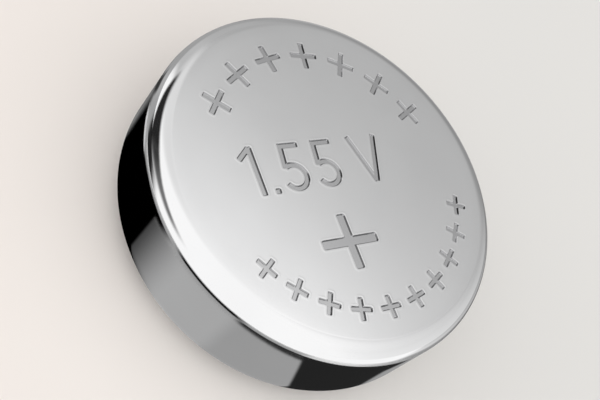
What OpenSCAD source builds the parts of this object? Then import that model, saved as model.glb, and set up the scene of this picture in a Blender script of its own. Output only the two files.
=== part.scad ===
// Silver oxide button cell, 6.8 x 2.15 mm, in millimetres.
//
// The cell stands on its negative cap. The origin is the centre of the cap's
// contact face and +Z points at the positive face. Every piece is a revolved
// section about Z, drawn in the plane of radius (X) and height (Y), and built
// from two kinds of stretch: straight runs and bends of constant thickness.
//
// The seal is the crimp: the can's mouth is curled in round the gasket, and
// the gasket round the shoulder of the cap. All three bends share one centre,
// so each piece seats on the next over the whole bend.

/* [Cell] */
// Outside diameter of the can
cell_d = 6.8; // [6:0.1:12]
// Height from the negative to the positive contact face
cell_h = 2.15; // [2:0.05:4]

/* [Positive can] */
// Thickness of the can's sheet
can_t = 0.18; // [0.14:0.01:0.24]
// Outside radius of the edge round the positive face
can_edge_r = 0.35; // [0.26:0.01:0.45]
// Height of the crimped lip above the negative contact face
lip_z = 0.1; // [0.06:0.01:0.3]
// How far the lip is curled past its lowest point, in degrees
lip_turn = 15; // [5:1:30]

/* [Sealing gasket] */
// Thickness of the gasket between can and cap
gasket_t = 0.16; // [0.1:0.01:0.3]
// Thickness of the gasket's foot, under the rim of the cap
foot_t = 0.2; // [0.1:0.01:0.3]
// Width of the foot, inwards from the wall of the can
foot_w = 0.87; // [0.6:0.01:1.4]
// Width of the ring that shows between the lip and the cap
ring_w = 0.2; // [0.12:0.01:0.4]
// How deep that ring lies inside the edge of the lip
ring_depth = 0.05; // [0.02:0.01:0.1]

/* [Negative cap] */
// Thickness of the cap's sheet
cap_t = 0.14; // [0.1:0.01:0.2]
// Outside radius of the edge round the negative face
cap_edge_r = 0.3; // [0.22:0.01:0.34]
// Inside radius of the bends at the shoulder and at the folded rim
fold_r = 0.02; // [0.01:0.01:0.06]
// Radius of the hollow bend between the cap's wall and its shoulder
neck_r = 0.06; // [0.03:0.01:0.08]
// Space between the shoulder and the end of the folded rim
fold_gap = 0.1; // [0.04:0.01:0.2]

/* [Contents] */
// Height of the silver oxide pellet
pellet_h = 0.56; // [0.4:0.01:0.65]
// Thickness of the separator film
film_t = 0.1; // [0.04:0.01:0.15]

/* [Hidden] */

// Segments of the revolved solids, and of the circles in their sections
$fn = 128;
section_fn = 48;

// Can: radii of the wall, and the levels of the floor and of the edge's centre
can_r = cell_d / 2;
can_in_r = can_r - can_t;
can_floor_z = cell_h - can_t;
can_edge_z = cell_h - can_edge_r;

// The bends round the shoulder of the cap, from the inside out
shoulder_r = fold_r + cap_t;
gasket_bend_r = shoulder_r + gasket_t;
crimp_r = gasket_bend_r + can_t;
crimp = [can_r - crimp_r, lip_z + crimp_r];
// Radius of the can's mouth, at the outer corner of the lip
mouth_r = crimp.x - crimp_r * sin(lip_turn);

// Levels of the stack under the floor of the can
pellet_z = can_floor_z - pellet_h;
film_z = pellet_z - film_t;
rim_z = film_z - foot_t;

// Gasket: inner edge of the foot, and the level of the ring that shows
foot_r = can_in_r - foot_w;
ring_z = crimp.y - crimp_r * cos(lip_turn) + ring_depth;

// Cap: skirt inside the gasket, wall inside the mouth, shoulder between them
skirt_r = can_in_r - gasket_t;
cap_r = mouth_r - ring_w;
shoulder_z = crimp.y - shoulder_r;
neck = [cap_r + neck_r, shoulder_z - neck_r];
rim = [skirt_r - shoulder_r, rim_z - shoulder_r];
leg_r = skirt_r - 2 * shoulder_r;

// Straight run of the section, between two opposite corners
module run(r1, z1, r2, z2) {
    translate([r1, z1]) square([r2 - r1, z2 - z1]);
}

// Bend of the section round a centre, between two radii and two angles
module bend(centre, r_in, r_out, a1, a2) {
    steps = 4;
    reach = 2 * r_out;
    translate(centre) intersection() {
        difference() {
            circle(r_out, $fn = section_fn);
            if (r_in > 0) circle(r_in, $fn = section_fn);
        }
        polygon([[0, 0], for (i = [0:steps]) let (a = a1 + (a2 - a1) * i / steps)
                         reach * [cos(a), sin(a)]]);
    }
}

// What a bend of radius r leaves open in a square corner; side gives the
// direction from the corner to the bend's centre, as +1 or -1 for each axis
module corner_rest(corner, r, side) {
    translate(corner) difference() {
        translate([min(side.x, 0) * r, min(side.y, 0) * r]) square(r);
        translate(r * side) circle(r, $fn = section_fn);
    }
}

// Cup with a rounded edge, whose mouth is curled in over the gasket
module positive_can() {
    edge = [can_r - can_edge_r, can_edge_z];
    color("silver") rotate_extrude() {
        run(0, can_floor_z, edge.x, cell_h);
        bend(edge, can_edge_r - can_t, can_edge_r, 0, 90);
        run(can_in_r, crimp.y, can_r, edge.y);
        bend(crimp, gasket_bend_r, crimp_r, -90 - lip_turn, 0);
    }
}

// Ring of L section that seats the cap's rim, bent in under the crimp
module sealing_gasket() {
    color("darkslategray") rotate_extrude() {
        run(foot_r, rim_z, can_in_r, film_z);
        run(skirt_r, crimp.y, can_in_r, rim_z);
        corner_rest([skirt_r, rim_z], shoulder_r, [-1, -1]);
        bend(crimp, shoulder_r, gasket_bend_r, -90, 0);
        difference() {
            run(cap_r, ring_z, crimp.x, shoulder_z);
            corner_rest([cap_r, shoulder_z], neck_r, [1, -1]);
            bend(crimp, gasket_bend_r, 2 * crimp_r, -90 - lip_turn, -80);
        }
    }
}

// Stepped cup whose rim is folded back on itself
module negative_cap() {
    edge = [cap_r - cap_edge_r, cap_edge_r];
    color("gainsboro") rotate_extrude() {
        run(0, 0, edge.x, cap_t);
        bend(edge, cap_edge_r - cap_t, cap_edge_r, -90, 0);
        run(cap_r - cap_t, edge.y, cap_r, neck.y);
        bend(neck, neck_r, neck_r + cap_t, 90, 180);
        run(neck.x, shoulder_z, crimp.x, shoulder_z + cap_t);
        bend(crimp, fold_r, shoulder_r, -90, 0);
        run(skirt_r - cap_t, crimp.y, skirt_r, rim.y);
        bend(rim, fold_r, shoulder_r, 0, 180);
        run(leg_r, shoulder_z + cap_t + fold_gap, leg_r + cap_t, rim.y);
    }
}

// Pressed disc that fills the bottom of the can, rounded edge and all
module cathode_pellet() {
    edge = [can_r - can_edge_r, can_edge_z];
    color("dimgray") rotate_extrude() {
        run(0, pellet_z, can_in_r, edge.y);
        run(0, edge.y, edge.x, can_floor_z);
        bend(edge, 0, can_edge_r - can_t, 0, 90);
    }
}

// Membrane over the whole pellet, held at its edge by the gasket's foot
module separator_film() {
    color("lavender") translate([0, 0, film_z]) cylinder(r = can_in_r, h = film_t);
}

// Soaked disc inside the gasket's foot
module absorbent_pad() {
    color("white") translate([0, 0, rim_z]) cylinder(r = foot_r, h = foot_t);
}

// Zinc paste that fills the cap up to its rim, and round the folded edge
module zinc_anode() {
    edge = [cap_r - cap_edge_r, cap_edge_r];
    in_r = cap_r - cap_t;
    in_z = shoulder_z + cap_t;
    color("slategray") rotate_extrude() {
        run(0, cap_t, edge.x, edge.y);
        bend(edge, 0, cap_edge_r - cap_t, -90, 0);
        run(0, edge.y, in_r, in_z);
        corner_rest([in_r, in_z], neck_r + cap_t, [1, -1]);
        run(0, in_z, leg_r, rim_z);
        corner_rest([leg_r, rim_z], shoulder_r, [1, -1]);
    }
}

positive_can();
sealing_gasket();
negative_cap();
cathode_pellet();
separator_film();
absorbent_pad();
zinc_anode();
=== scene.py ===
# %% [markdown]
# # A silver oxide button cell
#
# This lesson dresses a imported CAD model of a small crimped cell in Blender.
# The real cell is a drawn steel can whose mouth is curled in over a nylon
# gasket, and the gasket holds a stepped steel cap. Can, gasket and cap are
# all turned about one axis, so their surfaces come from one idea: a section
# of straight runs and round bends, carried round the Z axis.
#
# The CAD solids stay the measure of everything. They are loaded first, and
# the new surfaces take their sizes from them.

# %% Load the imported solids
import math

import bpy
import numpy as np
from mathutils import Matrix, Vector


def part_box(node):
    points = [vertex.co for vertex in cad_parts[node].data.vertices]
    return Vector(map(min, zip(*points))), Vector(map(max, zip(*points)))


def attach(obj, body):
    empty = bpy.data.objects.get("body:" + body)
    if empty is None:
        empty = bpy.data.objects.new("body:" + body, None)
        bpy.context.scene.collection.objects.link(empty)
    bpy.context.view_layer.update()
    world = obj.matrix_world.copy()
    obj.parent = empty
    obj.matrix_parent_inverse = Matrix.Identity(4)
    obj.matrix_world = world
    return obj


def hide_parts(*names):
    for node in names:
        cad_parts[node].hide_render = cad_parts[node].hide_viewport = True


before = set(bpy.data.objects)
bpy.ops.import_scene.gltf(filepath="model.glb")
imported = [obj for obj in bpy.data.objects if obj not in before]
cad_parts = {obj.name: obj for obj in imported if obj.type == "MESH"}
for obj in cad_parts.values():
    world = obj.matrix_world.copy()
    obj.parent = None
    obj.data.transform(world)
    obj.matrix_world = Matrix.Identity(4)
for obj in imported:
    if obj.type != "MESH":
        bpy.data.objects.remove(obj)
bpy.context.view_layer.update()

# %% [markdown]
# ## Reading the sizes from the solids
#
# Blender works in metres and this cell is 6.8 mm wide, so lengths below are
# in millimetres and one factor turns them into metres when a mesh is made.
#
# Pieces that touch tell each other's sizes. The top of the pellet is the
# inside of the can's floor, so the sheet of the can is the cell's height less
# that level. The gasket's wall is what lies between can and cap, and the
# anode's lowest point is the inside of the cap. The anode reaches out over
# the folded rim of the cap, as far as the middle of that fold, so the rest of
# the way to the skirt is the radius of the fold. Only a few bends can't be
# read off a box, and they are named here.

# %% Measure the nodes
MM = 0.001


def reach(node):
    """Largest radius, lowest and highest level of a turned node, in mm."""
    low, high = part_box(node)
    return high.x / MM, low.z / MM, high.z / MM


can_r, lip_z, cell_h = reach("positive_can")
can_in_r, ring_z, film_z = reach("sealing_gasket")
skirt_r, _, rim_z = reach("negative_cap")
paste_r, cap_t, _ = reach("zinc_anode")
foot_r, _, _ = reach("absorbent_pad")
can_t = can_r - can_in_r
gasket_t = can_in_r - skirt_r
shoulder_r = skirt_r - paste_r
leg_r = skirt_r - 2 * shoulder_r
fold_r = shoulder_r - cap_t
print(f"can {can_r:.2f} x {cell_h:.2f}, its sheet {can_t:.2f}, gasket {gasket_t:.2f}, "
      f"sheet of the cap {cap_t:.2f}")

# %% Name the bends that a box doesn't show
can_edge_r = 0.35
cap_edge_r = 0.30
neck_r = 0.06
ring_w = 0.20
fold_gap = 0.10
lip_turn = math.radians(15)

gasket_bend_r = shoulder_r + gasket_t
crimp_r = gasket_bend_r + can_t
crimp = (can_r - crimp_r, lip_z + crimp_r)
cap_r = crimp[0] - crimp_r * math.sin(lip_turn) - ring_w
shoulder_z = crimp[1] - shoulder_r
print(f"crimp of {crimp_r:.2f} round ({crimp[0]:.2f}, {crimp[1]:.2f}), cap wall at {cap_r:.3f}")

# %% [markdown]
# ## Sections made of runs and bends
#
# A section is a list of points in the plane of radius and height. A bend is
# points on a circle, and a straight run needs only its two ends. One thing
# matters for polished metal: smooth shading blends the directions of
# neighbouring faces, so a long run next to a bend would look bowed. Each run
# therefore gets one more point close to either end, which keeps the blend
# inside a narrow band.

# %% Section helpers
HOLD = 0.012  # mm between the end of a run and the point that holds it


def bend(centre, radius, start, stop, steps):
    """Points centre + radius * (cos a, sin a), for a from start to stop in degrees."""
    a = np.radians(np.linspace(start, stop, steps + 1))
    return np.stack([centre[0] + radius * np.cos(a), centre[1] + radius * np.sin(a)], axis=1)


def held(points):
    """Put a point HOLD away from both ends of every stretch longer than 4 HOLD."""
    step = np.diff(points, axis=0)
    length = np.linalg.norm(step, axis=1)
    long = length > 4 * HOLD
    unit = step[long] / length[long, None]
    near = np.concatenate([points[:-1][long] + HOLD * unit, points[1:][long] - HOLD * unit])
    # Point i has the sorting key i, and the two new ones after it i + 1/3 and i + 2/3
    after = np.concatenate([np.flatnonzero(long) + 1 / 3, np.flatnonzero(long) + 2 / 3])
    order = np.argsort(np.concatenate([np.arange(len(points)), after]), kind="stable")
    return np.concatenate([points, near])[order]


# %% [markdown]
# ## Carrying a section round the axis
#
# Every ring of the surface is the same section at another angle, so the
# whole mesh is one outer product: radius times cosine and sine. The faces
# are index arithmetic on the grid of rings. Where a section starts or ends on
# the axis, a single vertex and a fan of triangles close it. A section runs
# with its metal on the left, which turns every face outwards.

# %% Turned surfaces as arrays
TURNS = 256  # points of every ring


def turned(section, closed=False):
    """Points (r cos a, r sin a, z), quads and triangles of a section carried
    round Z. Rings are numbered along the section, and poles come last. closed
    joins the last ring to the first."""
    on_axis = section[:, 0] < 1e-9
    r, z = section[~on_axis].T
    a = np.linspace(0, 2 * np.pi, TURNS, endpoint=False)
    grid = np.stack([np.outer(r, np.cos(a)), np.outer(r, np.sin(a)),
                     np.outer(z, np.ones(TURNS))], axis=-1).reshape(-1, 3)
    here = np.arange(TURNS)
    after = (here + 1) % TURNS
    low = np.arange(len(r) if closed else len(r) - 1)[:, None] * TURNS
    high = (low + TURNS) % len(grid)
    quads = np.stack([low + here, low + after, high + after, high + here], axis=-1)
    poles = np.column_stack([np.zeros((on_axis.sum(), 2)), section[on_axis, 1]])
    last = len(grid) - TURNS
    fans = [np.zeros((0, 3), int)]
    if on_axis[0]:
        fans.append(np.column_stack([np.full(TURNS, len(grid)), after, here]))
    if on_axis[-1]:
        tip = len(grid) + len(poles) - 1
        fans.append(np.column_stack([last + here, last + after, np.full(TURNS, tip)]))
    return np.concatenate([grid, poles]), quads.reshape(-1, 4), np.concatenate(fans)


def surface(name, points, quads, triangles=(), crisp=0):
    """A mesh object at the origin, from points in mm. Its faces are shaded
    smooth, except the last ones, as many as crisp says."""
    mesh = bpy.data.meshes.new(name)
    faces = [*np.asarray(quads).tolist(), *np.asarray(triangles).tolist()]
    mesh.from_pydata(points * MM, [], faces)
    smooth = np.ones(len(mesh.polygons), bool)
    smooth[len(smooth) - crisp:] = False
    mesh.polygons.foreach_set("use_smooth", smooth)
    piece = bpy.data.objects.new(name, mesh)
    bpy.context.scene.collection.objects.link(piece)
    print(f"{name}: {len(mesh.vertices)} vertices, {len(mesh.polygons)} faces")
    return piece


# %% [markdown]
# ## The marks on the positive face
#
# The press stamps its marks a few hundredths of a millimetre into the face.
# A stamped stroke is a flat floor with steep sides, and its outline is sharp.
# A handy way to describe such shapes is a signed distance: for every point of
# the face, how far it is from the edge of the nearest stroke, negative
# inside. Distances of bars and arcs are short formulas, and the smaller of
# two distances joins two shapes.
#
# The sign of the pole and a plain voltage stand in the middle. The two arcs
# repeat the sign of the pole, smaller.

# %% Distance formulas
ROUND = 0.2  # rounding of a stroke's corners, as a share of its width


def turn(x, y, angle):
    """Coordinates in a frame turned by angle, in radians."""
    c, s = math.cos(angle), math.sin(angle)
    return c * x + s * y, c * y - s * x


def cornered(p, q, rounding):
    """Signed distance to where both p and q are negative, with its corners
    rounded: the length of the vector past two sides that lie further in by
    the rounding, less the rounding."""
    p, q = p + rounding, q + rounding
    return np.hypot(np.maximum(p, 0), np.maximum(q, 0)) + np.minimum(np.maximum(p, q), 0) - rounding


def bar(x, y, centre, angle, length, width):
    """Signed distance to a bar, from how far a point is past its end and side."""
    u, v = turn(x - centre[0], y - centre[1], angle)
    return cornered(np.abs(u) - length / 2, np.abs(v) - width / 2, ROUND * width)


def stroke(x, y, start, stop, width):
    """A bar from one point to another, with square ends."""
    run = (stop[0] - start[0], stop[1] - start[1])
    centre = ((start[0] + stop[0]) / 2, (start[1] + stop[1]) / 2)
    return bar(x, y, centre, math.atan2(run[1], run[0]), math.hypot(*run), width)


def bow(x, y, centre, radius, width, start, stop):
    """A part of a ring: the distance to its circle less half the width, cut
    off by straight lines at the start and stop angles, in degrees."""
    u, v = x - centre[0], y - centre[1]
    ring = np.abs(np.hypot(u, v) - radius) - width / 2
    middle, half = math.radians((start + stop) / 2), math.radians((stop - start) / 2)
    p, q = turn(u, v, middle)
    past = np.abs(q) * math.cos(half) - p * math.sin(half)
    return cornered(ring, past, ROUND * width)


# %% Figures of the middle row, on a box one unit high
def figure_one(x, y, w):
    stem = stroke(x, y, (0.30, 0.0), (0.30, 1.0), w)
    flag = stroke(x, y, (0.02, 0.74), (0.30, 0.97), w)
    return np.minimum(stem, flag)


def figure_point(x, y, w):
    return bar(x, y, (0.08, w / 2), 0.0, w, w)


def figure_five(x, y, w):
    top = stroke(x, y, (0.12, 1 - w / 2), (0.56, 1 - w / 2), w)
    side = stroke(x, y, (0.12 + w / 2, 1.0), (0.06 + w / 2, 0.48), w)
    bowl = bow(x, y, (0.27, 0.30), 0.30 - w / 2, w, -150, 128)
    return np.minimum(np.minimum(top, side), bowl)


def figure_volt(x, y, w):
    left = stroke(x, y, (0.04, 1.0), (0.36, 0.0), w)
    right = stroke(x, y, (0.68, 1.0), (0.36, 0.0), w)
    return np.minimum(left, right)


# Each character has a shape and an advance, the room it takes up in the row
FIGURES = {"1": (figure_one, 0.52), ".": (figure_point, 0.28),
           "5": (figure_five, 0.74), "V": (figure_volt, 0.74), " ": (None, 0.22)}

# %% Where each mark stands
# MARKS_UP is where the top of the marks points, from the X axis of the cell.
# The row and the large sign are placed in mm from the centre of the face.
MARKS_UP = math.radians(152)
STROKE = 0.11
ROW_TEXT = "1.55 V"
ROW_HEIGHT, ROW_LEVEL, ROW_MIDDLE = 0.93, -0.26, -0.35
PLUS_AT, PLUS_ARMS, PLUS_WIDTH = (-0.28, -1.28), (1.17, 1.02), 0.18
UPPER_ARC = {"count": 7, "middle": 7, "spread": 114, "radius": 2.41, "arm": 0.56, "width": 0.115}
LOWER_ARC = {"count": 10, "middle": 173, "spread": 122, "radius": 2.53, "arm": 0.42, "width": 0.10}


def cross(x, y, centre, angle, arms, width):
    """Two bars across each other: the smaller of their distances."""
    flat = bar(x, y, centre, angle, arms[0], width)
    tall = bar(x, y, centre, angle + math.pi / 2, arms[1], width)
    return np.minimum(flat, tall)


def arc_of_signs(x, y, count, middle, spread, radius, arm, width):
    """Small pole signs on an arc, each turned to the centre of the face. The
    angles are in degrees, clockwise from the top of the marks."""
    nearest = np.full_like(x, np.inf)
    for angle in np.radians(90 - middle + np.linspace(spread / 2, -spread / 2, count)):
        centre = (radius * math.cos(angle), radius * math.sin(angle))
        nearest = np.minimum(nearest, cross(x, y, centre, angle, (arm, arm), width))
    return nearest


def marks(x, y):
    """Signed distance to all marks, for arrays of points on the face, in mm."""
    u, v = turn(x, y, MARKS_UP - math.pi / 2)
    nearest = np.minimum(arc_of_signs(u, v, **UPPER_ARC), arc_of_signs(u, v, **LOWER_ARC))
    nearest = np.minimum(nearest, cross(u, v, PLUS_AT, 0.0, PLUS_ARMS, PLUS_WIDTH))
    at = ROW_MIDDLE - ROW_HEIGHT * sum(FIGURES[c][1] for c in ROW_TEXT) / 2
    for character in ROW_TEXT:
        shape, advance = FIGURES[character]
        if shape:
            d = shape((u - at) / ROW_HEIGHT, (v - ROW_LEVEL) / ROW_HEIGHT, STROKE / ROW_HEIGHT)
            nearest = np.minimum(nearest, d * ROW_HEIGHT)
        at += advance * ROW_HEIGHT
    return nearest


# %% [markdown]
# ## A disc without a crowded middle
#
# Rings of equal count would crowd at the centre and thin out at the rim, and
# the marks need the same fine mesh everywhere. So the face starts as a square
# grid, and each square ring of it is bent into a circle: the longer of the
# two coordinates becomes the radius, and their ratio becomes the angle.
#
# A stamped stroke has sloping sides, so two lines matter: the outline at the
# top, and the same line a little further in, at the floor. A grid knows
# neither. A finer one would only make the steps smaller, so the triangles are
# cut instead. Points that lie close to a line are first moved onto it, along
# the slope of the distance. Every edge that still crosses the line gets a new
# point there, and its triangles are split. Each face then belongs to the flat
# face, to a slope or to a floor, and never to two of them.

# %% A square grid bent into a disc
GRID = 256
DISC_R = 2.90
SNAP = 0.25  # points this near to a line move onto it, as a share of the spacing


def square_to_disc(count, radius):
    """Grid points of a square bent into a disc: radius = max(|a|, |b|), and
    angle = 45 degrees times the ratio of the two, from the nearer axis."""
    line = np.linspace(-1, 1, count + 1)
    a, b = np.meshgrid(line, line, indexing="ij")
    flat = np.abs(a) >= np.abs(b)
    r = np.where(flat, a, b)
    share = np.divide(np.where(flat, b, a), r, out=np.zeros_like(r), where=r != 0)
    angle = np.where(flat, np.pi / 4 * share, np.pi / 2 - np.pi / 4 * share)
    return radius * r * np.cos(angle), radius * r * np.sin(angle)


# %% Press the marks in
DEPTH = 0.030  # of the floors under the face
SIDE = 0.021  # width of the slopes, seen from above
ON_LINE = 1e-4  # a tenth of a micron: a point this near counts as on the line


def moved_onto(x, y, level, room):
    """Move the points nearer than room to the line distance = level onto it,
    by one step along the slope of the distance, found from small differences.
    The slope is 1 except where two strokes meet, and those points stay."""
    e = ON_LINE
    past = marks(x, y) - level
    slope_x = (marks(x + e, y) - marks(x - e, y)) / (2 * e)
    slope_y = (marks(x, y + e) - marks(x, y - e)) / (2 * e)
    near = (np.abs(past) < room) & (np.hypot(slope_x, slope_y) > 0.9)
    return np.where(near, x - past * slope_x, x), np.where(near, y - past * slope_y, y)


def crossings(x, y, pairs, level):
    """Where the line crosses the edges between pairs of points, by halving
    the stretch of each edge that holds the crossing."""
    (x0, x1), (y0, y1) = x[pairs].T, y[pairs].T
    starts_past = marks(x0, y0) > level
    low, high = np.zeros(len(pairs)), np.ones(len(pairs))
    for _ in range(16):
        t = (low + high) / 2
        same = (marks(x0 + t * (x1 - x0), y0 + t * (y1 - y0)) > level) == starts_past
        low, high = np.where(same, t, low), np.where(same, high, t)
    return x0 + t * (x1 - x0), y0 + t * (y1 - y0)


def rolled(triangles, first):
    """The same triangles, each starting from its corner with number first."""
    turns = (np.asarray(first)[:, None] + np.arange(3)) % 3
    return np.take_along_axis(triangles, turns, axis=1)


def cut_along(x, y, triangles, level):
    """Split every triangle that the line distance = level crosses.

    A triangle with a corner on the line becomes two, and any other three: the
    corner that is alone on its side, and the rest cut along a diagonal.
    """
    past = marks(x, y) - level
    side = np.where(np.abs(past) < ON_LINE, 0, np.sign(past)).astype(int)
    s = side[triangles]
    crossed = (s.min(1) < 0) & (s.max(1) > 0)
    through = crossed & (s == 0).any(1)
    apart = crossed & ~through
    a, b, c = rolled(triangles[through], np.argmax(s[through] == 0, axis=1)).T
    lone = np.argmax(s[apart] == -s[apart].sum(1)[:, None], axis=1)
    d, e, f = rolled(triangles[apart], lone).T
    pairs = np.sort(np.concatenate([np.stack(p, axis=1) for p in ((b, c), (d, e), (d, f))]), axis=1)
    pairs, which = np.unique(pairs, axis=0, return_inverse=True)
    new = len(x) + which.reshape(-1)
    m, p, q = new[:len(a)], new[len(a):len(a) + len(d)], new[len(a) + len(d):]
    new_x, new_y = crossings(x, y, pairs, level)
    parts = [(a, b, m), (a, m, c), (d, p, q), (p, e, f), (p, f, q)]
    triangles = np.concatenate([triangles[~crossed], *[np.stack(t, axis=1) for t in parts]])
    return np.concatenate([x, new_x]), np.concatenate([y, new_y]), triangles


def stamped_disc():
    """Points, triangles, rim and mark distances of the pressed face. Squares
    are cut along the diagonal that points away from the centre, and the
    height falls evenly from the outline to the floor line."""
    x, y = square_to_disc(GRID, DISC_R)
    room = SNAP * 2 * DISC_R / GRID
    index = np.arange((GRID + 1) ** 2).reshape(GRID + 1, GRID + 1)
    rim = np.unique(np.concatenate([index[0], index[-1], index[:, 0], index[:, -1]]))
    angle = np.round(np.arctan2(y.flat[rim], x.flat[rim]), 6) % (2 * np.pi)
    a, b, c, e = index[:-1, :-1], index[1:, :-1], index[1:, 1:], index[:-1, 1:]
    side = np.arange(GRID) - (GRID - 1) / 2
    across = (np.outer(side, side) < 0)[..., None]
    halves = [np.where(across, np.stack(t, axis=-1), np.stack(u, axis=-1))
              for t, u in (((a, b, e), (a, b, c)), ((b, c, e), (a, c, e)))]
    triangles = np.concatenate([half.reshape(-1, 3) for half in halves])
    x, y = x.reshape(-1), y.reshape(-1)
    for level in (0.0, -SIDE):
        x, y = moved_onto(x, y, level, room)
        x, y, triangles = cut_along(x, y, triangles, level)
    d = marks(x, y)
    z = cell_h - DEPTH * np.clip(-d / SIDE, 0, 1)
    return np.stack([x, y, z], axis=-1), triangles, rim[np.argsort(angle)], d


# %% [markdown]
# ## The positive can
#
# The can is one sheet, so its section goes up the inside and comes back on
# the outside: under the floor, round the inner edge, down the wall, round the
# curl to the cut lip, and back outside to the face. The stamped disc closes
# the top. Its rim has four times as many points as the rings of the wall, so
# a narrow flat band joins each wall point to four rim points.

# %% Section and mesh of the can
EDGE_STEPS = 26
CURL_STEPS = 22
INNER_STEPS = 6  # for bends that nobody sees
BAND = 0.05  # width of the flat band round the disc


def can_section():
    edge = (can_r - can_edge_r, cell_h - can_edge_r)
    cut = -90 - math.degrees(lip_turn)
    return held(np.concatenate([
        [(0.0, cell_h - can_t)],
        bend(edge, can_edge_r - can_t, 90, 0, INNER_STEPS),
        bend(crimp, gasket_bend_r, 0, cut, INNER_STEPS * 2),
        bend(crimp, crimp_r, cut, 0, CURL_STEPS),
        bend(edge, can_edge_r, 0, 90, EDGE_STEPS),
        [(DISC_R + BAND, cell_h)],
    ]))


def zipped(coarse, fine):
    """Triangles of the flat band between a ring and one with 4 times its points."""
    n = len(coarse)
    c0, c1 = coarse, np.roll(coarse, -1)
    f = fine.reshape(n, 4)
    f4 = np.roll(f[:, 0], -1)
    fans = [(c0, f[:, 1], f[:, 0]), (c0, f[:, 2], f[:, 1]), (c0, c1, f[:, 2]),
            (c1, f[:, 3], f[:, 2]), (c1, f4, f[:, 3])]
    return np.concatenate([np.stack(t, axis=1) for t in fans])


wall_points, wall_quads, wall_fan = turned(can_section())
disc_points, disc_triangles, disc_rim, disc_marks = stamped_disc()
before = len(wall_points)  # the pole of the inside is the last of these points
last_ring = np.arange(TURNS) + before - 1 - TURNS
band = zipped(last_ring, disc_rim + before)
can = surface("can_shell", np.concatenate([wall_points, disc_points]), wall_quads,
              np.concatenate([wall_fan, band, disc_triangles + before]),
              crisp=len(disc_triangles))
from_mark = can.data.attributes.new("from_mark", "FLOAT", "POINT")
far_off = np.ones(before)
from_mark.data.foreach_set("value", np.concatenate([far_off, disc_marks]).astype(np.float32))
print(f"{100 * (disc_marks < 0).mean():.0f} % of the disc's points lie in marks, {DEPTH} mm deep")

# %% [markdown]
# ## The sealing gasket
#
# The nylon ring is soft, and the crimp presses it into whatever room can and
# cap leave. Its section therefore shares every bend with its neighbours. In
# the mouth of the can only its edge can be seen, as a thin ring.

# %% Section and mesh of the gasket
neck = (cap_r + neck_r, shoulder_z - neck_r)
rim = (skirt_r - shoulder_r, rim_z - shoulder_r)


def gasket_section():
    cut = -90 - math.degrees(lip_turn)
    drop = crimp[1] - ring_z
    mouth = (crimp[0] - drop * math.tan(lip_turn), ring_z)
    return held(np.concatenate([
        [(cap_r, ring_z), mouth],
        bend(crimp, gasket_bend_r, cut, 0, CURL_STEPS),
        [(can_in_r, film_z), (foot_r, film_z), (foot_r, rim_z)],
        bend(rim, shoulder_r, 90, 0, INNER_STEPS),
        bend(crimp, shoulder_r, 0, -90, INNER_STEPS),
        bend(neck, neck_r, 90, 180, INNER_STEPS),
    ]))


gasket = surface("gasket_ring", *turned(gasket_section(), closed=True))

# %% [markdown]
# ## The negative cap
#
# The cap is drawn from clad strip: a flat contact, a rounded edge, a short
# wall, a shoulder, and a skirt that is folded back on itself so that the
# gasket meets a smooth rim. Its section follows the strip once round.

# %% Section and mesh of the cap
def cap_section():
    edge = (cap_r - cap_edge_r, cap_edge_r)
    leg_end = shoulder_z + cap_t + fold_gap
    return held(np.concatenate([
        [(0.0, 0.0)],
        bend(edge, cap_edge_r, -90, 0, EDGE_STEPS),
        bend(neck, neck_r, 180, 90, INNER_STEPS),
        bend(crimp, shoulder_r, -90, 0, INNER_STEPS * 2),
        bend(rim, shoulder_r, 0, 180, INNER_STEPS * 2),
        [(leg_r, leg_end), (leg_r + cap_t, leg_end)],
        bend(rim, fold_r, 180, 0, INNER_STEPS),
        bend(crimp, fold_r, 0, -90, INNER_STEPS),
        bend(neck, neck_r + cap_t, 90, 180, INNER_STEPS),
        bend(edge, cap_edge_r - cap_t, 0, -90, INNER_STEPS),
        [(0.0, cap_t)],
    ]))


cap = surface("cap_shell", *turned(cap_section()))

# %% [markdown]
# ## A short way to write materials
#
# A procedural material is a small graph of nodes. A few helpers keep the
# graphs readable. One adds a node and wires its inputs by name, and the rest
# build on it: sums, smooth steps, blends of two colours, grain. Positions come
# from Object coordinates, scaled to millimetres, so a grain of 0.03 mm is
# written as 30 to the millimetre.

# %% Node helpers
def feed(tree, socket, value):
    """Wire an output to an input socket, or set the socket to a plain value."""
    if isinstance(value, bpy.types.NodeSocket):
        tree.links.new(value, socket)
    else:
        socket.default_value = value


def node(tree, kind, settings=None, **inputs):
    """Add a node, set its settings, then feed its inputs by name."""
    made = tree.nodes.new("ShaderNode" + kind)
    for key, value in (settings or {}).items():
        setattr(made, key, value)
    for key, value in inputs.items():
        feed(tree, made.inputs[key.replace("_", " ")], value)
    return made


def sums(tree, operation, *values):
    """The result of a Math node on numbers or sockets."""
    made = node(tree, "Math", {"operation": operation})
    for socket, value in zip(made.inputs, values):
        feed(tree, socket, value)
    return made.outputs[0]


def along(tree, vector, direction):
    """How far a vector reaches along a direction: their dot product."""
    made = node(tree, "VectorMath", {"operation": "DOT_PRODUCT"})
    feed(tree, made.inputs[0], vector)
    feed(tree, made.inputs[1], direction)
    return made.outputs["Value"]


def ramp(tree, value, low, high, start=0.0, stop=1.0):
    """A smooth step: start below low, stop above high."""
    made = node(tree, "MapRange", {"interpolation_type": "SMOOTHSTEP"},
                Value=value, From_Min=low, From_Max=high, To_Min=start, To_Max=stop)
    return made.outputs["Result"]


def blended(tree, share, first, second):
    """A colour between two, by share: 6 and 7 are the Mix node's colour inputs."""
    made = node(tree, "Mix", {"data_type": "RGBA"}, Factor=share)
    for socket, value in zip((made.inputs[6], made.inputs[7]), (first, second)):
        feed(tree, socket, value if isinstance(value, bpy.types.NodeSocket) else (*value, 1.0))
    return made.outputs[2]


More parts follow.
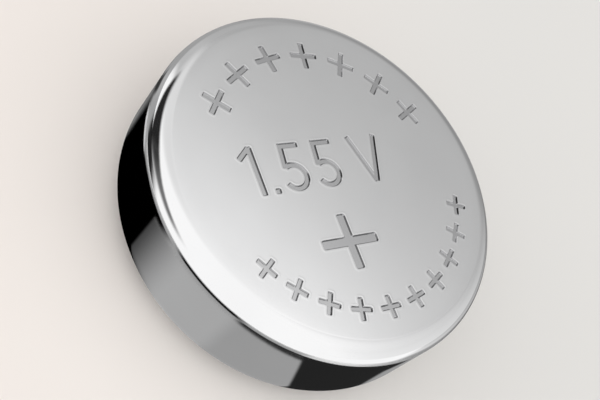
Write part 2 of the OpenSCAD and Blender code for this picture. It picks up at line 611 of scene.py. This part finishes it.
def between(tree, share, first, second):
    """A number between two, by share: 2 and 3 are the Mix node's number inputs."""
    made = node(tree, "Mix", {"data_type": "FLOAT"}, Factor=share)
    feed(tree, made.inputs[2], first)
    feed(tree, made.inputs[3], second)
    return made.outputs[0]


def fresh(name):
    """A new material, its node tree and its output node."""
    material = bpy.data.materials.new(name)
    material.use_nodes = True
    tree = material.node_tree
    tree.nodes.clear()
    return material, tree, tree.nodes.new("ShaderNodeOutputMaterial")


def place(tree):
    """Object coordinates in mm, and their radius and height."""
    spot = node(tree, "TexCoord").outputs["Object"]
    scaled = node(tree, "VectorMath", {"operation": "SCALE"}, Vector=spot, Scale=1 / MM)
    parts = node(tree, "SeparateXYZ", Vector=scaled.outputs[0])
    x, y, z = parts.outputs
    radius = sums(tree, "SQRT", sums(tree, "ADD", sums(tree, "MULTIPLY", x, x),
                                     sums(tree, "MULTIPLY", y, y)))
    return scaled.outputs[0], radius, z


def grain(tree, spot, per_mm, detail=3.0, rough=0.55, stretch=(1, 1, 1)):
    """Noise from 0 to 1 with features of about 1 / per_mm, longer along an
    axis whose stretch is less than 1."""
    pulled = node(tree, "Mapping", Vector=spot, Scale=stretch).outputs[0]
    return node(tree, "TexNoise", Vector=pulled, Scale=per_mm, Detail=detail,
                Roughness=rough).outputs[0]


def metal(tree, out, tone, rough, bump):
    """Finish a material as bare metal."""
    shader = node(tree, "BsdfPrincipled", Base_Color=tone, Metallic=1.0, Roughness=rough,
                  Normal=bump.outputs[0])
    tree.links.new(shader.outputs[0], out.inputs[0])


# %% [markdown]
# ## Nickel plate, satin on the face and polished on the wall
#
# The can is plated with bright nickel. The press leaves the flat face satin,
# and rolling the wall through a die leaves it close to a mirror. One material
# does both: the radius and the height tell face from wall, and the roughness
# follows. Fine grain gives the satin its body, and faint lines along the wall
# are the marks of drawing.
#
# Depth under the face tells the sides and the floors of the stamped marks.
# Both are painted darker, partly for the punch's duller finish and partly as
# painted shade in the recess. The sides are the darkest, a painted dark outline
# round each mark. A low burr stands round each mark, where the distance that
# the mesh carries is a few hundredths of a millimetre.

# %% Nickel plate of the can
FACE_ENDS = (2.80, 3.24)  # radii between which the satin gives way to polish
FACE_DEPTHS = (0.04, 0.09)  # and depths under the face, past the floors of the marks
# Painted shade: the sides and floors of the marks are darker than the face for the shade in the
# recess, and partly for the punch's duller finish
SHADED_MARK_SIDE, SHADED_MARK_FLOOR = (0.36, 0.36, 0.365), (0.545, 0.545, 0.55)
SATIN, POLISH = (0.14, 0.18), (0.04, 0.07)  # lowest and highest roughness


def nickel_plate():
    material, tree, out = fresh("nickel_plate")
    spot, radius, z = place(tree)
    depth = sums(tree, "SUBTRACT", cell_h, z)
    face = sums(tree, "MULTIPLY", ramp(tree, radius, *FACE_ENDS, 1, 0),
                ramp(tree, depth, *FACE_DEPTHS, 1, 0))
    # The rounded edge lies under the face too, so marks count only on the disc
    stamped = ramp(tree, radius, DISC_R - 0.04, DISC_R + 0.04, 1, 0)
    # Where the painted shade of the marks lies: their floors, and their sloping sides
    shaded_floor_share = sums(tree, "MULTIPLY", ramp(tree, depth, 0.85 * DEPTH, 0.97 * DEPTH), stamped)
    shaded_side_share = sums(tree, "MULTIPLY", ramp(tree, depth, 0.03 * DEPTH, 0.12 * DEPTH), stamped)
    fine = grain(tree, spot, 30, 3)
    broad = grain(tree, spot, 0.7, 2)
    drawn = grain(tree, spot, 9, 2, 0.5, (1, 1, 0.06))
    tone = blended(tree, ramp(tree, broad, 0.35, 0.7), (0.800, 0.800, 0.803), (0.780, 0.780, 0.783))
    tone = blended(tree, shaded_side_share, tone, SHADED_MARK_SIDE)
    tone = blended(tree, shaded_floor_share, tone, SHADED_MARK_FLOOR)
    rough = between(tree, face, ramp(tree, drawn, 0.2, 0.8, *POLISH),
                    ramp(tree, fine, 0.2, 0.8, *SATIN))
    edge = node(tree, "Attribute", {"attribute_name": "from_mark"}).outputs["Fac"]
    burr = sums(tree, "MULTIPLY", ramp(tree, edge, 0.0, 0.018), ramp(tree, edge, 0.022, 0.055, 1, 0))
    height = sums(tree, "ADD", sums(tree, "MULTIPLY", between(tree, face, drawn, fine), 0.25),
                  sums(tree, "MULTIPLY", burr, 0.45))
    bump = node(tree, "Bump", Strength=1.0, Distance=0.0010 * MM, Height=height)
    metal(tree, out, tone, rough, bump)
    return material


# %% [markdown]
# ## The other finishes
#
# The cap is clad strip with a nickel outside, a little warmer than the can.
# Lines from rolling the strip run along it, and its flat contact is duller
# than its sides. The gasket is dyed nylon: dark, slightly glossy, with a fine
# orange peel. What lies inside is never seen in use, but each solid still has
# the look of its stuff: pressed powder, film, fibre and metal paste.

# %% Clad strip and nylon
def clad_strip():
    material, tree, out = fresh("clad_strip")
    spot, _, z = place(tree)
    fine = grain(tree, spot, 30, 4)
    lines = grain(tree, spot, 22, 3, 0.6, (1, 0.05, 1))
    flat = ramp(tree, z, 0.02, 0.10, 1, 0)
    tone = blended(tree, ramp(tree, fine, 0.3, 0.7), (0.770, 0.765, 0.752), (0.735, 0.730, 0.716))
    rough = sums(tree, "ADD", ramp(tree, lines, 0.2, 0.8, 0.11, 0.16),
                 sums(tree, "MULTIPLY", flat, 0.12))
    bump = node(tree, "Bump", Strength=0.12, Distance=0.004 * MM,
                Height=sums(tree, "ADD", fine, sums(tree, "MULTIPLY", lines, 1.5)))
    metal(tree, out, tone, rough, bump)
    return material


def plain_stuff(name, light, dark, per_mm, rough, depth, stretch=(1, 1, 1), metallic=0.0):
    """Two tones mixed by grain of 1 / per_mm, which also gives the roughness,
    from its first value to its second, and a bump as deep as depth, in mm."""
    material, tree, out = fresh(name)
    spot, _, _ = place(tree)
    speckle = grain(tree, spot, per_mm, 4, 0.6, stretch)
    tone = blended(tree, ramp(tree, speckle, 0.3, 0.7), dark, light)
    bump = node(tree, "Bump", Strength=0.5, Distance=depth * MM, Height=speckle)
    shader = node(tree, "BsdfPrincipled", Base_Color=tone, Metallic=metallic,
                  Roughness=ramp(tree, speckle, 0.2, 0.8, *rough), Normal=bump.outputs[0])
    tree.links.new(shader.outputs[0], out.inputs[0])
    return material


FINISHES = {
    "positive_can": nickel_plate(),
    "negative_cap": clad_strip(),
    "sealing_gasket": plain_stuff("dyed_nylon", (0.035, 0.050, 0.042), (0.020, 0.032, 0.026),
                                  14, (0.34, 0.46), 0.006),
    "cathode_pellet": plain_stuff("pressed_oxide", (0.085, 0.078, 0.072), (0.030, 0.028, 0.026),
                                  26, (0.75, 0.9), 0.012),
    "separator_film": plain_stuff("laminated_film", (0.80, 0.78, 0.72), (0.72, 0.70, 0.64),
                                  5, (0.30, 0.42), 0.004),
    "absorbent_pad": plain_stuff("soaked_fibre", (0.86, 0.85, 0.82), (0.70, 0.69, 0.66),
                                 18, (0.8, 0.95), 0.02, (1, 0.2, 1)),
    "zinc_anode": plain_stuff("zinc_paste", (0.42, 0.43, 0.45), (0.24, 0.25, 0.27),
                              16, (0.40, 0.6), 0.02, metallic=0.6),
}
print("finishes:", ", ".join(m.name for m in FINISHES.values()))

# %% Hang the pieces on the frame
DRESSED = {"positive_can": can, "sealing_gasket": gasket, "negative_cap": cap}
for cad_node, piece in DRESSED.items():
    piece.data.materials.append(FINISHES[cad_node])
    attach(piece, "root")
    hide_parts(cad_node)
for cad_node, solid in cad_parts.items():
    solid.data.materials.clear()
    solid.data.materials.append(FINISHES[cad_node])
print("sealed inside:", ", ".join(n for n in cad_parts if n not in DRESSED))

# %% [markdown]
# ## The camera
#
# The camera looks down on the cell from its near side, and is rolled so that
# the axis of the cell leans across the picture. It is given the way a
# photographer would: how high, how far, how much roll, and two small turns
# that set the cell a little off the middle of the frame.

# %% Camera
FRAME_W = 600  # pixels across the picture
FOCAL_PX = 985.0  # focal length in the same pixels
CAM_HIGH = math.radians(49.158)
CAM_ROLL = math.radians(46.827)
CAM_AWAY = 17.908  # mm from the middle of the cell
CAM_PAN, CAM_TILT = -0.0050, -0.0054  # radians


def turned_to(forward, side, angle):
    """Two unit vectors turned towards each other in their plane."""
    c, s = math.cos(angle), math.sin(angle)
    return c * forward + s * side, c * side - s * forward


back = np.array([0.0, -math.cos(CAM_HIGH), math.sin(CAM_HIGH)])
right = np.array([1.0, 0.0, 0.0])
upward = np.cross(back, right)
eye = np.array([0.0, 0.0, cell_h / 2]) + CAM_AWAY * back
ahead, right = turned_to(-back, right, CAM_PAN)
ahead, upward = turned_to(ahead, upward, CAM_TILT)
right, upward = turned_to(right, upward, CAM_ROLL)

camera_data = bpy.data.cameras.new("camera")
camera_data.sensor_width = 36.0
camera_data.lens = FOCAL_PX / FRAME_W * camera_data.sensor_width
camera_data.clip_start = 1 * MM
camera_data.clip_end = 1000 * MM
camera = bpy.data.objects.new("camera", camera_data)
bpy.context.scene.collection.objects.link(camera)
axes = np.stack([right, upward, -ahead], axis=1)
camera.matrix_world = Matrix.LocRotScale(
    [float(v) * MM for v in eye], Matrix(axes.tolist()).to_quaternion(), None)
bpy.context.scene.camera = camera
print(f"camera: {camera_data.lens:.1f} mm lens at", [round(float(v), 2) for v in eye])

# %% [markdown]
# ## Floor and light
#
# Polished metal shows its surroundings, so the studio is most of the look.
# It is plain: a pale floor under a big soft light. The floor is a little
# warmer and lighter on one side, and plain grey where metal mirrors it. The
# light is white overhead and behind the camera, and falls off around one far
# direction. That fall is what shades the satin face from white to grey.

# %% Pale floor
FLOOR_HALF = 220.0
COOL_SIDE = (0.78, 0.62, 0.0)
COOL_REACH = 7.0  # mm from the middle of the cell to where the tone is settled
FLOOR_WARM, FLOOR_COOL = (0.86, 0.80, 0.755), (0.74, 0.725, 0.70)
FLOOR_MIRRORED = (0.79, 0.79, 0.79)


def pale_floor():
    material, tree, out = fresh("pale_floor")
    spot, _, _ = place(tree)
    cooler = ramp(tree, along(tree, spot, COOL_SIDE), -COOL_REACH, COOL_REACH)
    glossy = node(tree, "LightPath").outputs["Is Glossy Ray"]
    tone = blended(tree, glossy, blended(tree, cooler, FLOOR_WARM, FLOOR_COOL), FLOOR_MIRRORED)
    tree.links.new(node(tree, "BsdfDiffuse", Color=tone).outputs[0], out.inputs[0])
    return material


corners = np.array([(-1.0, -1.0, 0.0), (1.0, -1.0, 0.0), (1.0, 1.0, 0.0), (-1.0, 1.0, 0.0)])
floor = surface("floor", FLOOR_HALF * corners, [(0, 1, 2, 3)])
floor.data.materials.append(pale_floor())

# %% Soft light all round
DIM_SIDE = (0.035, 0.999, 0.0)
DIM_TOP = (-0.4545, 0.4545, 0.766)
DIP = 0.76  # brightness left in the middle of the dip
FALL = ((0.35, 1.17), (0.57, 1.14), (0.60, 1.03), (0.65, 0.72), (0.70, 0.59),
        (0.80, 0.50), (1.0, 0.30))


def soft_light():
    """Brightness by direction: FALL gives it by the cosine of the angle to
    DIM_SIDE, and it is lowered to DIP of that around DIM_TOP."""
    world = bpy.data.worlds.new("soft_light")
    bpy.context.scene.world = world
    world.use_nodes = True
    tree = world.node_tree
    tree.nodes.clear()
    way = node(tree, "TexCoord").outputs["Generated"]
    fall = node(tree, "ValToRGB", Fac=along(tree, way, DIM_SIDE))
    stops = fall.color_ramp.elements
    stops[0].position, stops[1].position = FALL[0][0], FALL[-1][0]
    for position, _ in FALL[1:-1]:
        stops.new(position)
    for stop, (_, level) in zip(stops, FALL):
        stop.color = (level, level, level, 1)
    dip = ramp(tree, along(tree, way, DIM_TOP), 0.86, 0.99, 1.0, DIP)
    glow = node(tree, "Background", Color=fall.outputs[0], Strength=dip)
    tree.links.new(glow.outputs[0], node(tree, "OutputWorld").inputs[0])


soft_light()

# %% [markdown]
# ## Painted reflections
#
# A photographer lays white and black cards beside polished metal, to give it
# clean reflections and so its shape. Here each card is a sheet that only
# reflections see, so what is drawn on it is painted reflection: its white
# glows though it lights nothing, and its black shows only in the metal. Every
# point of a sheet has a cover, from clear to opaque, and a tone, from black to
# a little over white. Both are kept as attributes of the mesh, and soft steps
# in angle and distance draw them.

# %% Sheets of painted reflection
def rise(value, low, high):
    """Smooth step from 0 at low to 1 at high: 3 t t - 2 t t t."""
    t = np.clip((value - low) / (high - low), 0, 1)
    return t * t * (3 - 2 * t)


def within(value, low, high, soft, soft_high=None):
    """1 between low and high, with a smooth step of width soft centred on each."""
    other = soft if soft_high is None else soft_high
    return (rise(value, low - soft / 2, low + soft / 2)
            * (1 - rise(value, high - other / 2, high + other / 2)))


def painted_reflection(name, points, layers):
    """A sheet of painted reflection over a grid of points: seen by reflections
    alone, it glows with its tone and lights nothing. layers are pairs of cover
    and tone, the lowest first: each lies over the ones before it as paint does,
    so the cover becomes share + cover * (1 - share)."""
    cover, tone = np.zeros(points.shape[:2]), np.zeros(points.shape[:2])
    for share, level in layers:
        total = share + cover * (1 - share)
        tone = np.divide(share * level + cover * (1 - share) * tone, total,
                         out=np.zeros_like(total), where=total > 0)
        cover = total
    index = np.arange(cover.size).reshape(cover.shape)
    quads = np.stack([index[:-1, :-1], index[1:, :-1], index[1:, 1:], index[:-1, 1:]], axis=-1)
    sheet = surface(name, points.reshape(-1, 3), quads.reshape(-1, 4))
    material, tree, out = fresh(name + "_paint")
    read = {}
    for kind, values in (("cover", cover), ("tone", tone)):
        attribute = sheet.data.attributes.new(kind, "FLOAT", "POINT")
        attribute.data.foreach_set("value", values.reshape(-1).astype(np.float32))
        read[kind] = node(tree, "Attribute", {"attribute_name": kind}).outputs["Fac"]
    clear = node(tree, "BsdfTransparent").outputs[0]
    # The painted reflection glows with its tone where the sheet has cover
    painted_glow = node(tree, "Emission", Strength=read["tone"]).outputs[0]
    mixed = node(tree, "MixShader")
    for socket, value in zip(mixed.inputs, (read["cover"], clear, painted_glow)):
        feed(tree, socket, value)
    tree.links.new(mixed.outputs[0], out.inputs[0])
    sheet.data.materials.append(material)
    for kind in ("camera", "diffuse", "transmission", "volume_scatter", "shadow"):
        setattr(sheet, "visible_" + kind, False)
    return sheet


# %% [markdown]
# ## Painted reflection on the wall
#
# The camera sees the wall of the can as a mirror. A ray from the camera that
# meets the wall at some angle round the cell goes on down to the floor, and
# where it lands is simple: the wall's own direction doubled, less the
# direction to the camera. The sheet is laid out in those terms. Its first
# coordinate is the angle round the can and its second the distance from the
# wall along the mirrored ray, so a line drawn straight across the sheet
# stands upright on the metal. Its tones are painted reflection, drawn for this
# one camera, so that they land on the wall where they should show.
#
# The flat wall mirrors the first 1.1 mm, and the rounded edge above it
# mirrors all the rest in a narrow band. So the wall shows a few broad painted
# fields, black, grey, black, and the band shows thin painted lines: black edges
# that end the fields, then glowing white further out, with a dark beam and a
# strip on it.

# %% Painted reflection: black and grey beside the wall
SHEET_Z = 0.02
WALL_SHOWS = 1.09  # mm of the sheet that the flat wall mirrors


def painted_wall_reflection():
    """The sheet at spot = wall point + away * way, with way = 2 (e.w) w - e
    for the wall's direction w and the direction e to the camera, both level."""
    around, step = np.meshgrid(np.linspace(196, 344, 445), np.linspace(0, 1, 221), indexing="ij")
    away = -0.45 + 4.0 * step + 150 * step ** 8
    a = np.radians(around)
    wall = np.stack([np.cos(a), np.sin(a)], axis=-1)
    to_eye = eye[:2] - can_r * wall
    to_eye /= np.linalg.norm(to_eye, axis=-1, keepdims=True)
    way = 2 * (to_eye * wall).sum(-1, keepdims=True) * wall - to_eye
    spot = can_r * wall + away[..., None] * way
    points = np.concatenate([spot, np.full(around.shape + (1,), SHEET_Z)], axis=-1)
    on_wall = 1 - rise(away, WALL_SHOWS, WALL_SHOWS + 0.07)
    near = 1 - rise(away, 1.42, 1.52)
    slanted = around + 7.2 * (away - 1.04)
    opened = around - 12 * np.maximum(away - 1.04, 0)
    leaning = around - 5 * (away - 1.3)
    crest = 2.3 - 0.05 * np.abs(around - 238)
    curve = around + 15 * np.exp(1.6 - away)

    # Painted white glow further out, and dim painted tones between it and the fields
    white = within(around, 247, 318, 5) * rise(away, 3.2, 4.8)
    mist = within(around, 228, 298, 6) * within(away, 0.8, 3.6, 0.1, 2.0) * 0.9
    pale = within(around, 190, 232, 4) * rise(away, 1.9, 3.2) * 0.9
    # The painted grey field of the wall, shaded to black at its left and duller at its right
    grey = within(around, 236, 310, 1.0) * on_wall
    fading = (1 - rise(around, 243, 262)) * rise(around, 236, 240) * 0.9 * on_wall
    duller = within(around, 280, 310, 6) * on_wall
    # Dim ends at both sides, and the two black fields
    rest = within(around, 180, 214, 4) * (1 - rise(away, 1.3, 1.5)) * 0.9
    beyond = within(around, 328, 343, 1.0, 2.0) * (1 - rise(away, 1.40, 1.90))
    left = within(around, 207.2, 245.0, 8.0, 1.0) * near
    right = rise(slanted, 301.9, 303.1) * (1 - rise(opened, 330.5, 333.5)) * near
    # Black above the fields. From 244 degrees on it leaves the wall grey.
    left_rise = within(leaning, 226.5, 252, 4, 8) * (1 - rise(away, crest - 0.3, crest + 0.4))
    left_rise *= np.maximum(1 - on_wall, around < 244)
    right_rise = within(around, 280.5, 326, 4, 16) * (1 - on_wall) * (1 - rise(away, 1.6, 2.0))
    # Thin dark shapes on the white
    arch = within(around, 258.5, 280, 5) * within(away, 1.7, 3.2, 0.5, 0.8)
    beam = within(around, 231, 242, 5) * rise(away, 4.2, 5.4)
    strip = within(curve, 215, 221, 3) * within(away, 1.5, 5.0, 0.3, 2.0)
    return painted_reflection("painted_wall_reflection", points, [
        (white, 1.17), (mist, 0.36), (pale, 0.42),
        (grey, 0.48), (fading, 0.0), (duller, 0.39),
        (rest, 0.2), (beyond, 0.34), (left, 0.0), (right, 0.02),
        (left_rise, 0.0), (right_rise * 0.97, 0.02),
        (arch * 0.98, 0.0), (beam * 0.97, 0.02), (strip * 0.95, 0.03)])


painted_wall_reflection()

# %% [markdown]
# ## Tones further out
# ## Painted reflections further out
#
# Round the rest of the rim, metal mirrors the floor at a flat angle and far
# away. A second sheet, just under the first, paints the floor's reflection
# there: a short row of compass angles and tones, with a straight passage from
# one to the next. Two more sheets on a wide sphere round the cell paint what
# the metal mirrors higher up: a black blade at the left, and at the right one
# that fades from white to grey and paints shade on the rounded edge on that
# side.

# %% Painted reflection of the floor, by compass angle
FLOOR_SHEET = (3.45, 200.0)  # its first and last radius
FLOOR_REFLECTION_TONES = ((-90, 1.17), (-15, 1.05), (30, 0.60), (60, 0.28), (115, 0.50),
               (155, 0.40), (270, 0.40))


def painted_floor_reflection():
    """FLOOR_REFLECTION_TONES, and above them a few shapes. Angles run from -90 to 270, so
    that they jump where the tone is white on both sides."""
    compass, step = np.meshgrid(np.linspace(0, 360, 361), np.linspace(0, 1, 130), indexing="ij")
    away = FLOOR_SHEET[0] * (FLOOR_SHEET[1] / FLOOR_SHEET[0]) ** step
    a = np.radians(compass)
    points = np.stack([away * np.cos(a), away * np.sin(a), np.full_like(a, 0.6 * SHEET_Z)], axis=-1)
    side = (compass + 90) % 360 - 90
    swept = side - 100 / away
    tones = np.interp(side, *zip(*FLOOR_REFLECTION_TONES))
    far_side = within(side, -30, 196, 30, 14)
    cover = np.maximum(far_side * rise(away, 5.0, 6.2), (1 - far_side) * rise(away, 6.8, 8.2))

    # Close to the cell on its far side: a shade, and a dark outline
    shade = within(side, -15, 85, 40, 30) * (1 - rise(away, 6.0, 9.0)) * 0.75
    outline = within(side, 20, 192, 30, 10) * (1 - rise(away, 5.6, 6.6))
    # A thin curved line that ends in a hook
    line = within(side - 34 * np.exp((8 - away) / 1.7), 122, 130, 4) * rise(away, 7.4, 8.2)
    hook = within(away + 0.16 * (side - 160), 7.3, 8.3, 0.6) * within(side, 158, 180, 6)
    # White, black and white again at the left, as rays that sweep round the cell
    white = within(swept, 158.5, 171, 6)
    black = within(swept, 181, 198 + 90 / away, 8, 14)
    near = rise(swept, 204, 220)
    return painted_reflection("painted_floor_reflection", points, [
        (cover, tones), (shade, 0.2), (np.maximum(line, hook) * 0.8, 0.05),
        (white * cover, 1.12), (near * cover, 1.17), (black * cover * 0.98, 0.0),
        (outline * 0.9, 0.06)])


painted_floor_reflection()

# %% Painted reflections: a black blade on the left, and a grey one on the right
SPHERE_R = 60.0
RIGHT_TONES = ((-30, 1.17), (0, 1.02), (45, 0.74), (62, 0.54), (80, 0.54))


def on_a_sphere(compass, high):
    """Points SPHERE_R from the middle of the face, by compass angle and height
    in degrees: (cos h cos c, cos h sin c, sin h)."""
    a, b = np.radians(compass), np.radians(high)
    points = SPHERE_R * np.stack([np.cos(b) * np.cos(a), np.cos(b) * np.sin(a), np.sin(b)], axis=-1)
    points[..., 2] += cell_h
    return points


# Painted reflection: a black blade that shows only in the metal
def painted_blade_reflection():
    """Black between a slanted edge and a sloping top, with a dark tail at its
    right and a grey veil at its left."""
    compass, high = np.meshgrid(np.linspace(108, 262, 309), np.linspace(-2, 52, 109), indexing="ij")
    slanted = compass + 1.1 * high
    top = 36 - 0.35 * np.maximum(compass - 188, 0)
    below = 1 - rise(high, top - 5, top + 6)
    blade = rise(slanted, 182, 190) * (1 - rise(compass, 190, 222)) * below
    tail = within(compass, 194, 240, 12, 20) * rise(high, -2, 14) * below
    veil = within(compass, 124, 158, 12, 10) * (1 - rise(high, 20, 46))
    return painted_reflection("painted_blade_reflection", on_a_sphere(compass, high),
                   [(veil * 0.85, 0.50), (tail * 0.95, 0.16), (blade * 0.98, 0.0)])


# Painted reflection: white fading to grey, which paints shade on the right of the rounded edge
def painted_grey_reflection():
    """RIGHT_TONES by compass, leaning over above 30 degrees and fading out from 38 to 80."""
    compass, high = np.meshgrid(np.linspace(-40, 80, 121), np.linspace(-2, 82, 85), indexing="ij")
    leaning = compass - 0.9 * np.maximum(high - 30, 0)
    cover = within(compass, -20, 66, 24, 14) * (1 - rise(high, 38, 80))
    tones = np.interp(leaning, *zip(*RIGHT_TONES))
    return painted_reflection("painted_grey_reflection", on_a_sphere(compass, high), [(cover, tones)])


painted_blade_reflection()
painted_grey_reflection()

# %% Colours as written
bpy.context.scene.view_settings.view_transform = "Standard"
